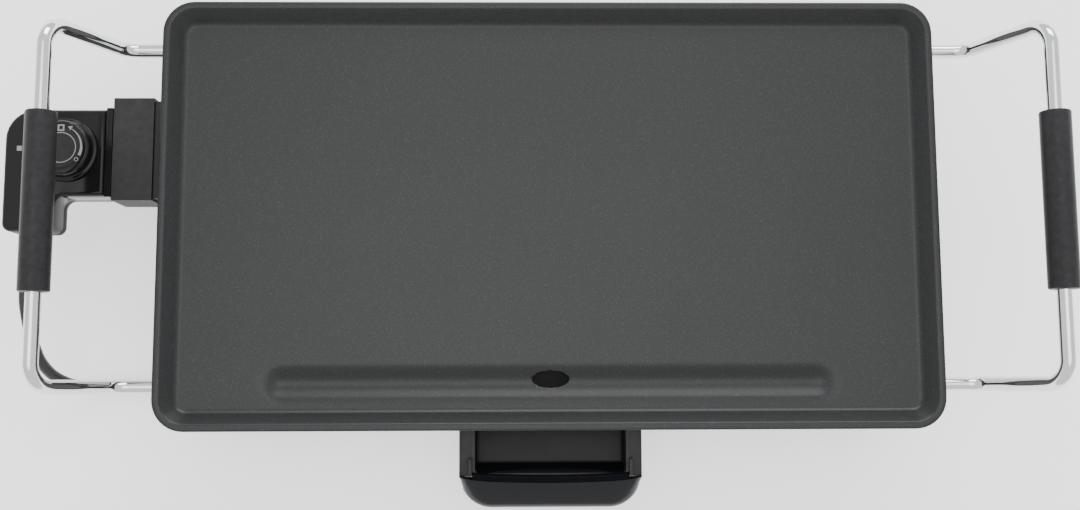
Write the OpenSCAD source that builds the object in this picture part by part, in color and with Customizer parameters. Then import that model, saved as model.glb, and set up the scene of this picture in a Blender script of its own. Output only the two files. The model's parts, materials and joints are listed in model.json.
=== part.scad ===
// Table-top electric griddle with lift handles, a plug-in thermostat control and a grease drawer.
// Millimetres. Sub-parts are drawn about the middle of the plate, with z = 0 on the table;
// placed() then moves the origin to the middle of the whole appliance's footprint.

/* [Plate] */
// Length of the griddle plate over its rim
plate_w = 470; // [420:5:560]
// Depth of the griddle plate, front to back, over its rim
plate_d = 260; // [230:5:320]
// Outer corner radius of the plate
corner_r = 19; // [17:1:30]
// Height of the rim above the table
rim_z = 72; // [68:1:90]
// Depth of the cooking surface below the rim
pan_depth = 9; // [7:0.5:12]
// Thickness of the cast floor
plate_t = 3.5; // [3:0.25:5]
// Length of the grease gutter
gutter_l = 340; // [280:5:340]
// Width of the grease gutter
gutter_w = 18; // [15:1:20]
// Depth of the grease gutter
gutter_depth = 3.5; // [2.5:0.25:4]

/* [Handles and legs] */
// Diameter of the bent handle rod
rod_d = 8.6; // [7:0.2:9.6]
// Distance of the rods from the front and back edges of the plate
rod_inset = 26.3; // [24:0.1:30]
// Distance from the plate's edge to the point where the rod turns upwards
kink_out = 27; // [24:1:34]
// Distance from the plate's edge to the middle of the grip
handle_out = 52.7; // [46:0.1:64]
// Height of the middle of the grip above the rim
grip_rise = 44; // [36:0.5:50]
// Diameter of the grip
grip_d = 17.5; // [14.5:0.5:21]
// Length of the grip
grip_l = 102; // [85:1:125]
// Width of a leg, front to back
leg_t = 26; // [24:1:29]
// Height of the rubber foot
foot_h = 5; // [4:0.5:7]

/* [Heating] */
// Diameter of the tubular heating element
element_d = 6.6; // [5.6:0.2:7.8]
// Diameter of a terminal pin
pin_d = 5; // [4.2:0.2:6]
// Diameter of the thermostat's probe
probe_d = 6.4; // [5.4:0.2:7.6]

/* [Control] */
// Height of the control housing
control_h = 30; // [28:1:36]
// Diameter of the knob's base ring
knob_d = 38.5; // [33:0.5:46]
// Height of the knob above its housing
knob_h = 10; // [8:0.5:14]

/* [Drawer] */
// Width of the drawer over its runners
drawer_w = 110.5; // [96:0.5:130]
// Depth of the tray below its runners
tray_h = 25; // [18:1:30]
// Distance that the drawer's handle stands out from the plate
lip_out = 47.5; // [45:0.5:57]
// Wall thickness of the tray
tray_t = 1.8; // [1.4:0.2:2.6]

/* [Hidden] */

$fn = 48;
gap = 0.3;                // play between pieces that move past each other
fit = 0.1;                // radial clearance of a running fit
half_w = plate_w / 2;
half_d = plate_d / 2;
floor_z = rim_z - pan_depth;
under_z = floor_z - plate_t;

// Rim of the plate: distances are measured inwards from its outer edge
rim_w = 14;
lip_w = 4;
lip_drop = 4.5;

// Gutter and drain
gutter_y = -half_d + 28;
gutter_wall = 4;
drain_y = gutter_y + 2;
drain_w = 22;
drain_d = 10;
drain_wall = 2;
spout_h = 3.5;
seat_z = under_z - gutter_depth;    // what is screwed under the plate seats at this height

// Handles
rod_r = rod_d / 2;
rod_y = half_d - rod_inset;
rod_z = under_z - rod_r;
rod_end = half_w - 38;
bend_r = 14;
kink_x = half_w + kink_out;
grip_x = half_w + handle_out;
grip_z = rim_z + grip_rise;

// Legs
leg_out = half_w - 21;
leg_in = half_w - 59;
leg_foot_w = 20;
leg_screw_x = leg_in + 9;
foot_x = leg_out - leg_foot_w / 2 - 1;
leg_step_z = 38;
foot_r = leg_foot_w / 2;
foot_stem_r = 4;
foot_stem_h = 7;
leg_boss_r = 6;
leg_boss_h = 8;
screw_r = 2;
screw_head_r = 4;
screw_head_h = 3;

// Socket for the control, on the left end
socket_y = 38;
socket_z = under_z - 9.5;
pin_pitch = 28;
pin_ys = [socket_y - pin_pitch / 2, socket_y + pin_pitch / 2];
mouth_x = -half_w - 30.5;
shroud_back_x = -half_w - 6;
collar_back_x = -half_w + 5.5;
shroud_y0 = 8.6;
shroud_y1 = 71.7;
shroud_z0 = socket_z - 14;
shroud_z1 = socket_z + 14;
socket_w = 44.8;
socket_h = 19;
bracket_t = 1.5;
bracket_in = half_w - 29;
bracket_w = 18;
bracket_screw_x = -half_w + 21;
bracket_screw_dy = 7;
shroud_screw_r = 1.5;
shroud_screw_ys = [shroud_y0 + 3.5, shroud_y1 - 5.5];

// Heating element
element_r = element_d / 2;
element_z = under_z - element_r;
element_x = half_w - 75;
element_back = half_d - 34;
element_bend = 18;
clamp_t = 1.2;
clamp_w = 10;
clamp_foot = 8;
clamp_clear = 1;
clamp_reach = element_r + clamp_t + clamp_foot;
element_front = gutter_y + gutter_w / 2 + gutter_wall + clamp_clear + clamp_reach;
element_end_x = -half_w + 3;
rivet_r = 1.5;
rivet_depth = 2;
// Each clamp: place along x, and which run of the element it holds
clamp_xs = [-element_x * 0.55, 0, element_x * 0.55];
clamp_ys = [element_front, element_back];

// Probe boss, cast under the plate
probe_r = probe_d / 2;
probe_boss_x0 = -half_w + 32;
probe_boss_x1 = -half_w + 47;
probe_boss_w = 12;
probe_tip_x = probe_boss_x1 - 2;

// Drawer and its rails
rail_t = 2;
rail_front = -half_d + 4;
rail_back = -half_d + 76;
runner_t = 2.5;
runner_z = seat_z - 8;
runner_w = 9.5;
runner_front = -half_d - 28;
runner_back = rail_back - 4 - gap;
rail_x = drawer_w / 2 + gap;
rail_lip = 5.5;
rail_foot = 13;
rail_screw_x = rail_x + rail_t + 7;
rail_screw_ys = [rail_front + 9, rail_back - 8];
rail_notch = 11;
tray_x = drawer_w / 2 - runner_w;
tray_back = runner_back + 3;
tray_z = runner_z + runner_t - tray_h;
lip_front = -half_d - lip_out;
lip_back = runner_front + 1;
lip_r = 19.5;
lip_top = runner_z + runner_t + 3.5;
lip_h = 24;
post_w = 3;
post_y = runner_front + 7;

// Control housing
control_top = shroud_z1;
control_z0 = control_top - control_h;
parting_z = control_z0 + 12;
control_wall = 2.5;
control_x1 = mouth_x - 4;
control_x0 = mouth_x - 65.5;
control_y0 = 11.2;
control_y1 = 64.8;
tail_y = -10;
tail_x1 = mouth_x - 34.5;
control_corner = 18;
inner_corner = 6;
tail_corner = 5;
knob_x = mouth_x - 27.5;
knob_y = 39;
knob_r = knob_d / 2;
knob_base_h = 3;
knob_top = control_top + knob_h;
dial_r = 12;
dial_t = 0.6;
shaft_r = 3;
cam_r = 7;
cam_h = 3;
flange_over = 0.6;
nose_x1 = shroud_back_x - 6;
clip_r = pin_d / 2 + fit;
clip_t = 1.4;
clip_back_x = control_x1 - 5.5;
post_r = 4;
small_screw_r = 1.5;
small_head_r = 3;
small_head_h = 2;
guard_stem = control_wall + 5;
control_posts = [
    [mouth_x - 44, 57.5], [mouth_x - 24.5, 17], [mouth_x - 55.5, tail_y + guard_stem + post_r + 1.5]
];
mark_w = 3;
mark_x = control_x0 + 8;

// Mains cord: where it leaves the control, its route and its coil
cord_d = 7;
cord_x = control_x0 + 10;
cord_z = parting_z;
guard_l = 22;
guard_r = 6;
guard_tip_r = 4.6;
guard_neck_r = 4.2;
guard_collar_r = 5.2;
lead_route = [
    [-321, -32, 46], [-322, -48, 46], [-320, -63, 45], [-317, -78, 41], [-314, -90, 33],
    [-307, -99, 22], [-296, -103, 11], [-282, -103, 5], [-266, -103, 4], [-252, -103, 4],
    [-239, -100, 4], [-229, -92, 4], [-223, -80, 4], [-221, -65, 4], [-220, -50, 4], [-220, -35, 4]
];
coil_at = [-183, -35];
coil_r = 36;
coil_h = 21;
tie_t = 1;
tie_w = 6;
tail_route = [[-183, 2, 17], [-168, 3, 18], [-152, 4, 18], [-140, 4, 18], [-128, 4, 18]];
plug_x = -128;
plug_y = 4;
plug_z = 18.5;
plug_r = 18.5;
plug_l = 40;
plug_pin_r = 2.4;
plug_pin_l = 19;
plug_pin_dy = 9.5;

// The whole appliance's footprint, without its cord
left_edge = control_x0;
right_edge = grip_x + grip_d / 2;
mid_x = (left_edge + right_edge) / 2;
mid_y = (half_d + lip_front) / 2;

module placed() {
    translate([-mid_x, -mid_y, 0]) children();
}

// ---- general shapes ----

function unit(v) = v / norm(v);

// Points along a path, with an arc of radius bend at each inner point
function bent_path(path, bend, steps) = concat([path[0]], [
    for (i = [1 : len(path) - 2])
        let (
            u = unit(path[i] - path[i - 1]),
            v = unit(path[i + 1] - path[i]),
            w = unit(v - u * (u * v)),
            turn = acos(u * v),
            centre = path[i] - u * bend * tan(turn / 2) + w * bend
        )
        for (k = [0 : steps]) centre + bend * (u * sin(turn * k / steps) - w * cos(turn * k / steps))
], [path[len(path) - 1]]);

// Rectangle with rounded corners, given by its half sizes
module rounded(hx, hy, r) {
    square([2 * hx - 2 * r, 2 * hy], center = true);
    square([2 * hx, 2 * hy - 2 * r], center = true);
    for (sx = [-1, 1], sy = [-1, 1]) translate([sx * (hx - r), sy * (hy - r)]) circle(r = r);
}

module slot(l, w) {
    rounded(l / 2, w / 2, w / 2 - 0.001);
}

module box(x0, x1, y0, y1, z0, z1) {
    translate([x0, y0, z0]) cube([x1 - x0, y1 - y0, z1 - z0]);
}

// Upright cylinder from z0 to z1
module post(x, y, z0, z1, r) {
    translate([x, y, z0]) cylinder(r = r, h = z1 - z0);
}

// Round bar or hole along x
module x_bar(x0, x1, y, z, r) {
    translate([x0, y, z]) rotate([0, 90, 0]) cylinder(r = r, h = x1 - x0);
}

// Screw with its head below, pointing up
module screw_up(x, y, z0, z1, r, head_r, head_h) {
    post(x, y, z0 + head_h, z1, r);
    post(x, y, z0, z0 + head_h, head_r);
}

// Sweeps a round section along points, as one closed solid
module swept(route, r, sides) {
    last = len(route) - 1;
    ways = [for (i = [0 : last])
        unit(route[min(i + 1, last)] - route[max(i - 1, 0)])];
    points = [for (i = [0 : last], k = [0 : sides - 1])
        let (across = unit(cross(ways[i], [0, 0, 1])), up = cross(across, ways[i]))
        route[i] + r * (across * cos(360 * k / sides) + up * sin(360 * k / sides))];
    walls = [for (i = [0 : last - 1], k = [0 : sides - 1])
        let (n = (k + 1) % sides)
        [i * sides + k, i * sides + n, (i + 1) * sides + n, (i + 1) * sides + k]];
    first_cap = [[for (k = [sides - 1 : -1 : 0]) k]];
    last_cap = [[for (k = [0 : sides - 1]) last * sides + k]];
    polyhedron(points = points, faces = concat(walls, first_cap, last_cap));
}

// ---- plate ----

// Section of the rim: [distance inwards from the outer edge, height]
rim_section = [
    [0, rim_z - lip_drop], [0, rim_z - 1.4], [0.5, rim_z - 0.5], [1.5, rim_z],
    [lip_w - 0.8, rim_z], [lip_w + 0.4, rim_z - 0.8],
    [rim_w - 4, floor_z + 1.6], [rim_w - 2.2, floor_z + 0.5], [rim_w, floor_z],
    [rim_w, under_z], [rim_w - 3, under_z], [lip_w, rim_z - lip_drop - 1]
];

// The rim runs along four sides and turns four corners
module rim() {
    straight_x = 2 * (half_w - corner_r);
    straight_y = 2 * (half_d - corner_r);
    for (s = [0, 180]) {
        rotate([0, 0, s]) rotate([90, 0, 90]) linear_extrude(straight_x, center = true)
            polygon([for (p = rim_section) [half_d - p[0], p[1]]]);
        rotate([0, 0, s]) rotate([90, 0, 0]) linear_extrude(straight_y, center = true)
            polygon([for (p = rim_section) [half_w - p[0], p[1]]]);
    }
    for (sx = [0, 1], sy = [0, 1]) mirror([sx, 0, 0]) mirror([0, sy, 0])
        translate([half_w - corner_r, half_d - corner_r, 0]) rotate_extrude(angle = 90)
            polygon([for (p = rim_section) [corner_r - p[0], p[1]]]);
}

// Radius of the gutter's round bottom, from its width and depth
gutter_r = (pow(gutter_w / 2, 2) + pow(gutter_depth, 2)) / (2 * gutter_depth);

module gutter_cut() {
    run = gutter_l / 2 - gutter_w / 2;
    z = floor_z - gutter_depth + gutter_r;
    x_bar(-run, run, gutter_y, z, gutter_r);
    for (s = [-1, 1]) translate([s * run, gutter_y, z]) sphere(r = gutter_r);
}

module griddle_plate() placed() color("dimgray") difference() {
    union() {
        rim();
        translate([0, 0, under_z]) linear_extrude(plate_t)
            rounded(half_w - rim_w, half_d - rim_w, corner_r - rim_w);
        translate([0, gutter_y, seat_z]) linear_extrude(plate_t)
            slot(gutter_l + 2 * gutter_wall, gutter_w + 2 * gutter_wall);
        translate([0, drain_y, seat_z - spout_h]) linear_extrude(spout_h + plate_t)
            slot(drain_w + 2 * drain_wall, drain_d + 2 * drain_wall);
        box(probe_boss_x0, probe_boss_x1, socket_y - probe_boss_w / 2, socket_y + probe_boss_w / 2,
            socket_z - probe_r - 3, under_z + 1);
        for (sx = [-1, 1], sy = [-1, 1])
            post(sx * leg_screw_x, sy * rod_y, under_z - leg_boss_h, under_z + 1, leg_boss_r);
        for (sx = [-1, 1], y = rail_screw_ys) post(sx * rail_screw_x, y, seat_z, under_z + 1, 4);
        for (s = [-1, 1])
            post(bracket_screw_x, socket_y + s * bracket_screw_dy, seat_z, under_z + 1, 3.5);
    }
    gutter_cut();
    translate([0, drain_y, seat_z - spout_h - 1]) linear_extrude(spout_h + plate_t + gutter_depth + 2)
        slot(drain_w, drain_d);
    x_bar(probe_boss_x0 - 1, probe_boss_x1 + 1, socket_y, socket_z, probe_r + fit);
    for (sx = [-1, 1], sy = [-1, 1])
        post(sx * leg_screw_x, sy * rod_y, under_z - leg_boss_h - 1, floor_z - 1.5, screw_r);
    for (sx = [-1, 1], y = rail_screw_ys) post(sx * rail_screw_x, y, seat_z - 1, floor_z - 1.5, screw_r);
    for (s = [-1, 1])
        post(bracket_screw_x, socket_y + s * bracket_screw_dy, seat_z - 1, floor_z - 1.5, small_screw_r);
    for (x = clamp_xs, y = clamp_ys, s = [-1, 1])
        post(x, y + s * (element_r + clamp_t + clamp_foot / 2), under_z - 1, under_z + rivet_depth, rivet_r);
}

// ---- heating ----

module heating_element() placed() color("darkgray") {
    low = [element_end_x + 10, socket_z];
    high = [element_end_x + 28, element_z];
    swept(bent_path([
        [element_end_x, pin_ys[1], socket_z], [low[0], pin_ys[1], low[1]],
        [high[0], pin_ys[1], high[1]], [-element_x, pin_ys[1], element_z],
        [-element_x, element_back, element_z], [element_x, element_back, element_z],
        [element_x, element_front, element_z], [-element_x, element_front, element_z],
        [-element_x, pin_ys[0], element_z], [high[0], pin_ys[0], high[1]],
        [low[0], pin_ys[0], low[1]], [element_end_x, pin_ys[0], socket_z]
    ], element_bend, 6), element_r, 16);
}

module terminal_pins() placed() color("silver") {
    for (y = pin_ys) x_bar(shroud_back_x - 17, element_end_x, y, socket_z, pin_d / 2);
}

// Strap that holds the element against the plate, with a foot on each side
module clamp_section() {
    difference() {
        union() {
            circle(r = element_r + clamp_t);
            translate([-element_r - clamp_t, 0]) square([2 * (element_r + clamp_t), element_r]);
            for (s = [0, 1]) mirror([s, 0])
                translate([element_r, element_r - clamp_t]) square([clamp_t + clamp_foot, clamp_t]);
        }
        circle(r = element_r);
        translate([-element_r, 0]) square([2 * element_r, element_r + clamp_t + 1]);
    }
}

module element_clamps() placed() color("lightgray") difference() {
    for (x = clamp_xs, y = clamp_ys) translate([x, y, element_z]) rotate([90, 0, 90])
        linear_extrude(clamp_w, center = true) clamp_section();
    for (x = clamp_xs, y = clamp_ys, s = [-1, 1])
        post(x, y + s * (element_r + clamp_t + clamp_foot / 2), under_z - 5, under_z + 1, rivet_r);
}

module clamp_rivets() placed() color("silver") {
    for (x = clamp_xs, y = clamp_ys, s = [-1, 1])
        screw_up(x, y + s * (element_r + clamp_t + clamp_foot / 2),
            under_z - clamp_t - 1.2, under_z + rivet_depth, rivet_r, 2.8, 1.2);
}

// ---- socket for the control ----

module socket_bracket() placed() color("silver") difference() {
    union() {
        box(collar_back_x, collar_back_x + bracket_t, shroud_y0 - 0.6, shroud_y1 - 1.7, socket_z - 8, seat_z);
        box(collar_back_x, -bracket_in, socket_y - bracket_w / 2, socket_y + bracket_w / 2,
            seat_z - bracket_t, seat_z);
    }
    for (y = pin_ys) x_bar(collar_back_x - 1, collar_back_x + bracket_t + 1, y, socket_z, element_r + 1);
    x_bar(collar_back_x - 1, collar_back_x + bracket_t + 1, socket_y, socket_z, probe_r + 1.2);
    for (y = shroud_screw_ys)
        x_bar(collar_back_x - 1, collar_back_x + bracket_t + 1, y, socket_z, shroud_screw_r);
    for (s = [-1, 1])
        post(bracket_screw_x, socket_y + s * bracket_screw_dy, seat_z - 3, seat_z + 1, small_screw_r);
}

module bracket_screws() placed() color("silver") {
    for (s = [-1, 1]) screw_up(bracket_screw_x, socket_y + s * bracket_screw_dy,
        seat_z - bracket_t - small_head_h, floor_z - 1.5, small_screw_r, small_head_r, small_head_h);
}

module shroud_screws() placed() color("silver") {
    head_x = collar_back_x + bracket_t;
    for (y = shroud_screw_ys) {
        x_bar(mouth_x + 8, head_x, y, socket_z, shroud_screw_r);
        x_bar(head_x, head_x + small_head_h, y, socket_z, small_head_r);
    }
}

module socket_shroud() placed() color("#454545") difference() {
    box(mouth_x, shroud_back_x, shroud_y0, shroud_y1, shroud_z0, shroud_z1);
    box(mouth_x - 1, shroud_back_x + 1, socket_y - socket_w / 2, socket_y + socket_w / 2,
        socket_z - socket_h / 2, socket_z + socket_h / 2);
    for (y = shroud_screw_ys) x_bar(mouth_x + 8, shroud_back_x + 1, y, socket_z, shroud_screw_r);
}

module shroud_collar() placed() color("#3a3a3a") difference() {
    box(shroud_back_x, collar_back_x, shroud_y0 + 1.4, shroud_y1 - 1.7, shroud_z0 + 1, shroud_z1 - 2);
    for (y = pin_ys) {
        x_bar(shroud_back_x - 1, element_end_x, y, socket_z, pin_d / 2);
        x_bar(element_end_x, collar_back_x + 1, y, socket_z, element_r);
    }
    x_bar(shroud_back_x - 1, collar_back_x + 1, socket_y, socket_z, probe_r + 1.2);
    for (y = shroud_screw_ys) x_bar(shroud_back_x - 1, collar_back_x + 1, y, socket_z, shroud_screw_r);
    // Bevel that clears the plate's sloping underside
    translate([collar_back_x, 0, shroud_z1 - 2]) rotate([90, 45, 0]) cube([6, 6, 200], center = true);
}

// ---- handles and legs ----

// Bent rod of the right-hand handle
module handle_rod() {
    swept(bent_path([
        [rod_end, -rod_y, rod_z], [kink_x, -rod_y, rod_z], [grip_x, -rod_y, grip_z],
        [grip_x, rod_y, grip_z], [kink_x, rod_y, rod_z], [rod_end, rod_y, rod_z]
    ], bend_r, 8), rod_r, 24);
}

module grip() {
    translate([grip_x, 0, grip_z]) rotate([90, 0, 0]) difference() {
        union() {
            cylinder(r = grip_d / 2, h = grip_l - 2, center = true);
            cylinder(r = grip_d / 2 - 1, h = grip_l, center = true);
        }
        cylinder(r = rod_r + 0.05, h = grip_l + 2, center = true);
    }
}

module right_handle_rod() placed() color("silver") handle_rod();
module left_handle_rod() placed() color("silver") mirror([1, 0, 0]) handle_rod();
module right_grip() placed() color("#414144") grip();
module left_grip() placed() color("#414144") mirror([1, 0, 0]) grip();

// One corner: sx and sy say which
module at_corner(sx, sy) {
    placed() mirror([sx < 0 ? 1 : 0, 0, 0]) mirror([0, sy < 0 ? 1 : 0, 0]) children();
}

module leg(sx, sy) at_corner(sx, sy) color("#2c2c2e") difference() {
    union() {
        box(leg_in, leg_out, rod_y - leg_t / 2, rod_y + leg_t / 2, leg_step_z, under_z);
        box(foot_x - leg_foot_w / 2, foot_x + leg_foot_w / 2, rod_y - leg_t / 2 + 2, rod_y + leg_t / 2 - 2,
            foot_h, leg_step_z);
    }
    x_bar(rod_end - 1, leg_out + 1, rod_y, rod_z, rod_r + 0.05);
    box(rod_end - 1, leg_out + 1, rod_y - rod_r - 0.05, rod_y + rod_r + 0.05, rod_z, under_z + 1);
    post(leg_screw_x, rod_y, under_z - leg_boss_h, under_z + 1, leg_boss_r + 0.2);
    post(leg_screw_x, rod_y, leg_step_z - 1, under_z, screw_r);
    post(leg_screw_x, rod_y, leg_step_z - 1, leg_step_z + screw_head_h, screw_head_r);
    post(foot_x, rod_y, foot_h - 1, foot_h + foot_stem_h, foot_stem_r);
}

module foot(sx, sy) at_corner(sx, sy) color("#1c1c1c") {
    post(foot_x, rod_y, 0, foot_h, foot_r);
    post(foot_x, rod_y, foot_h, foot_h + foot_stem_h, foot_stem_r);
}

module leg_screws() color("silver") {
    for (sx = [-1, 1], sy = [-1, 1]) at_corner(sx, sy)
        screw_up(leg_screw_x, rod_y, leg_step_z, floor_z - 1.5, screw_r, screw_head_r, screw_head_h);
}

// ---- drawer ----

// Guide on the right-hand side, which holds the drawer's runner between two lips
module drawer_rail() {
    outer_x = rail_x + rail_t;
    lip_in = rail_x - rail_lip;
    low_z = runner_z - gap;
    high_z = runner_z + runner_t + gap;
    difference() {
        union() {
            box(rail_x, outer_x, rail_front, rail_back, low_z - rail_t, seat_z);
            box(lip_in, outer_x, rail_front, rail_back, low_z - rail_t, low_z);
            box(lip_in, outer_x, rail_front, rail_back, high_z, high_z + rail_t);
            box(lip_in, outer_x, rail_back - 4, rail_back, low_z, high_z);
            box(rail_x, outer_x + rail_foot, rail_front, rail_back, seat_z - rail_t, seat_z);
        }
        box(lip_in - 1, outer_x + rail_foot + 1,
            element_front - rail_notch / 2, element_front + rail_notch / 2,
            high_z + rail_t, seat_z + 1);
        for (y = rail_screw_ys) post(rail_screw_x, y, seat_z - 3, seat_z + 1, screw_r);
    }
}

module right_drawer_rail() placed() color("#333335") drawer_rail();
module left_drawer_rail() placed() color("#333335") mirror([1, 0, 0]) drawer_rail();

module rail_screws() placed() color("silver") {
    for (sx = [-1, 1], y = rail_screw_ys) screw_up(sx * rail_screw_x, y,
        seat_z - rail_t - screw_head_h, floor_z - 1.5, screw_r, screw_head_r, screw_head_h);
}

module drawer_tray() placed() color("#262628") {
    top_z = runner_z + runner_t;
    difference() {
        box(-tray_x - tray_t, tray_x + tray_t, runner_front, tray_back, tray_z, top_z);
        box(-tray_x, tray_x, runner_front + tray_t, tray_back - tray_t, tray_z + tray_t, top_z + 1);
    }
    for (s = [0, 1]) mirror([s, 0, 0]) {
        box(tray_x + tray_t, drawer_w / 2, runner_front, runner_back, runner_z, top_z);
        box(drawer_w / 2 - post_w - 1, drawer_w / 2 - 1, post_y, post_y + post_w, top_z, top_z + 3);
    }
}

// Outline of the drawer's handle, seen from above
module lip_plan() {
    half = drawer_w / 2;
    translate([-half, lip_front + lip_r]) square([drawer_w, lip_back - lip_front - lip_r]);
    for (s = [-1, 1]) translate([s * (half - lip_r), lip_front + lip_r]) circle(r = lip_r);
    translate([lip_r - half, lip_front]) square([drawer_w - 2 * lip_r, lip_r]);
}

// Side view of the drawer's handle: [y, z], rounded over towards the front
module lip_profile() {
    y1 = runner_front - 0.001;
    polygon([
        [y1, lip_top - lip_h], [y1, lip_top - 1], [y1 - 2, lip_top], [y1 - 6, lip_top - 0.8],
        [y1 - 11, lip_top - 3], [y1 - 15, lip_top - 6.5], [lip_front, lip_top - 12],
        [lip_front, lip_top - 18], [lip_front + 5, lip_top - lip_h]
    ]);
}

module drawer_handle() placed() color("#1d1d1f") intersection() {
    translate([0, 0, lip_top - lip_h - 1]) linear_extrude(lip_h + 2) lip_plan();
    rotate([90, 0, 90]) linear_extrude(drawer_w, center = true) lip_profile();
}

// ---- control ----

// Outline of the housing, seen from above, with a tail towards the front for the cord
module control_plan() {
    arc_y = control_y1 - control_corner;
    arc_x = control_x0 + control_corner;
    translate([arc_x, control_y0]) square([control_x1 - arc_x, control_y1 - control_y0]);
    translate([control_x0, tail_y + tail_corner])
        square([tail_x1 - control_x0, arc_y - tail_y - tail_corner]);
    translate([arc_x, arc_y]) circle(r = control_corner);
    translate([control_x0 + tail_corner, tail_y])
        square([tail_x1 - control_x0 - 2 * tail_corner, tail_corner + 1]);
    for (x = [control_x0 + tail_corner, tail_x1 - tail_corner])
        translate([x, tail_y + tail_corner]) circle(r = tail_corner);
    difference() {
        translate([tail_x1 - 1, control_y0 - inner_corner]) square([inner_corner + 1, inner_corner + 1]);
        translate([tail_x1 + inner_corner, control_y0 - inner_corner]) circle(r = inner_corner);
    }
}

// Hollow inside of the housing
module control_hollow(z0, z1) {
    w = control_wall;
    box(tail_x1 - 12, control_x1 + 1, control_y0 + w, control_y1 - w, z0, z1);
    box(control_x0 + w + 1, tail_x1 - w - 1, tail_y + w + 2, control_y1 - control_corner, z0, z1);
}

module cord_way(r) {
    translate([cord_x, tail_y - 1, cord_z]) rotate([-90, 0, 0]) cylinder(r = r, h = guard_stem + 0.5);
}

module control_base() placed() color("#1f1f21") difference() {
    union() {
        difference() {
            translate([0, 0, control_z0]) linear_extrude(parting_z - control_z0) control_plan();
            control_hollow(control_z0 + control_wall, parting_z + 1);
        }
        for (p = control_posts) post(p[0], p[1], control_z0 + 1, parting_z, post_r);
    }
    cord_way(guard_neck_r);
    for (p = control_posts) {
        post(p[0], p[1], control_z0 - 1, parting_z + 1, small_screw_r);
        post(p[0], p[1], control_z0 - 1, control_z0 + small_head_h, small_head_r);
    }
}

module control_cover() placed() color("#242426") difference() {
    union() {
        difference() {
            translate([0, 0, parting_z]) linear_extrude(control_top - parting_z) control_plan();
            control_hollow(parting_z - 1, control_top - control_wall);
        }
        for (p = control_posts) post(p[0], p[1], parting_z, control_top - 1, post_r);
    }
    cord_way(guard_neck_r);
    for (p = control_posts) post(p[0], p[1], parting_z - 1, parting_z + 10, small_screw_r);
    post(knob_x, knob_y, control_top - 5, control_top + 1, shaft_r + fit);
}

module control_screws() placed() color("silver") {
    for (p = control_posts)
        screw_up(p[0], p[1], control_z0, parting_z + 10, small_screw_r, small_head_r, small_head_h);
}

module contact_block() placed() color("#2b2b2d") difference() {
    nose_w = socket_w - 4 * gap;
    nose_h = socket_h - 4 * gap;
    union() {
        box(mouth_x - gap, nose_x1, socket_y - nose_w / 2, socket_y + nose_w / 2,
            socket_z - nose_h / 2, socket_z + nose_h / 2);
        box(control_x1, mouth_x - gap, control_y0 - flange_over, control_y1 + flange_over,
            control_z0 - flange_over, control_top + flange_over);
    }
    for (y = pin_ys) x_bar(control_x1 - 1, nose_x1 + 1, y, socket_z, clip_r + clip_t);
    x_bar(control_x1 - 1, nose_x1 + 1, socket_y, socket_z, probe_r);
}

module contact_clips() placed() color("gold") difference() {
    for (y = pin_ys) x_bar(clip_back_x, nose_x1, y, socket_z, clip_r + clip_t);
    for (y = pin_ys) x_bar(clip_back_x + 2, nose_x1 + 1, y, socket_z, clip_r);
}

module probe() placed() color("silver") {
    x_bar(clip_back_x, probe_tip_x - 2, socket_y, socket_z, probe_r);
    translate([probe_tip_x - 2, socket_y, socket_z]) rotate([0, 90, 0])
        cylinder(r1 = probe_r, r2 = probe_r - 1.2, h = 2);
}

module thermostat_base() placed() color("tan") {
    box(knob_x - 12, knob_x + 13, knob_y - 11, knob_y + 11,
        control_z0 + control_wall, control_z0 + control_wall + 5);
    for (s = [-1, 1]) box(knob_x - 11, knob_x - 7, knob_y + s * 9 - 2, knob_y + s * 9 + 2,
        control_z0 + control_wall + 5, control_z0 + control_wall + 9);
}

module switch_blades() placed() color("gold") {
    z = control_z0 + control_wall + 9;
    for (s = [-1, 1]) box(knob_x - 11, knob_x + 11, knob_y + s * 9 - 2, knob_y + s * 9 + 2, z, z + 0.8);
}

module index_mark() placed() color("white") {
    box(mark_x, mark_x + mark_w, knob_y, knob_y + mark_w, control_top, control_top + 0.3);
}

module knob() placed() color("#19191b") difference() {
    union() {
        post(knob_x, knob_y, control_top + gap, control_top + gap + knob_base_h, knob_r);
        post(knob_x, knob_y, control_top + gap, knob_top - 1.5, knob_r - 2);
        post(knob_x, knob_y, control_top + gap, knob_top, knob_r - 3.5);
    }
    post(knob_x, knob_y, knob_top - dial_t, knob_top + 1, dial_r);
    post(knob_x, knob_y, control_top, knob_top - 3, shaft_r);
}

module knob_shaft() placed() color("silver") {
    post(knob_x, knob_y, control_top - 14, knob_top - 3, shaft_r);
    post(knob_x, knob_y, control_top - 14 - cam_h, control_top - 14, cam_r);
}

module dial_plate() placed() color("#303032") {
    post(knob_x, knob_y, knob_top - dial_t, knob_top, dial_r);
}

// ---- mains cord ----

module cord_guard() placed() color("#161616") translate([cord_x, tail_y, cord_z]) {
    rotate([90, 0, 0]) cylinder(r1 = guard_r, r2 = guard_tip_r, h = guard_l);
    rotate([-90, 0, 0]) cylinder(r = guard_neck_r, h = guard_stem);
    translate([0, control_wall + 2, 0]) rotate([-90, 0, 0])
        cylinder(r = guard_collar_r, h = guard_stem - control_wall - 2);
}

module cord() placed() color("#1a1a1a") {
    swept(lead_route, cord_d / 2, 8);
    swept(tail_route, cord_d / 2, 8);
}

module cord_coil() placed() color("#1a1a1a") translate([coil_at[0], coil_at[1], 0])
    rotate_extrude() translate([coil_r - cord_d, 0]) square([2 * cord_d, coil_h]);

module cord_tie() placed() color("#101010") translate([coil_at[0] + coil_r, coil_at[1], 0])
    difference() {
        box(-cord_d - gap - tie_t, cord_d + tie_t, -tie_w / 2, tie_w / 2, 0, coil_h + tie_t);
        box(-cord_d - gap, cord_d, -tie_w, tie_w, -1, coil_h);
    }

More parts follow.
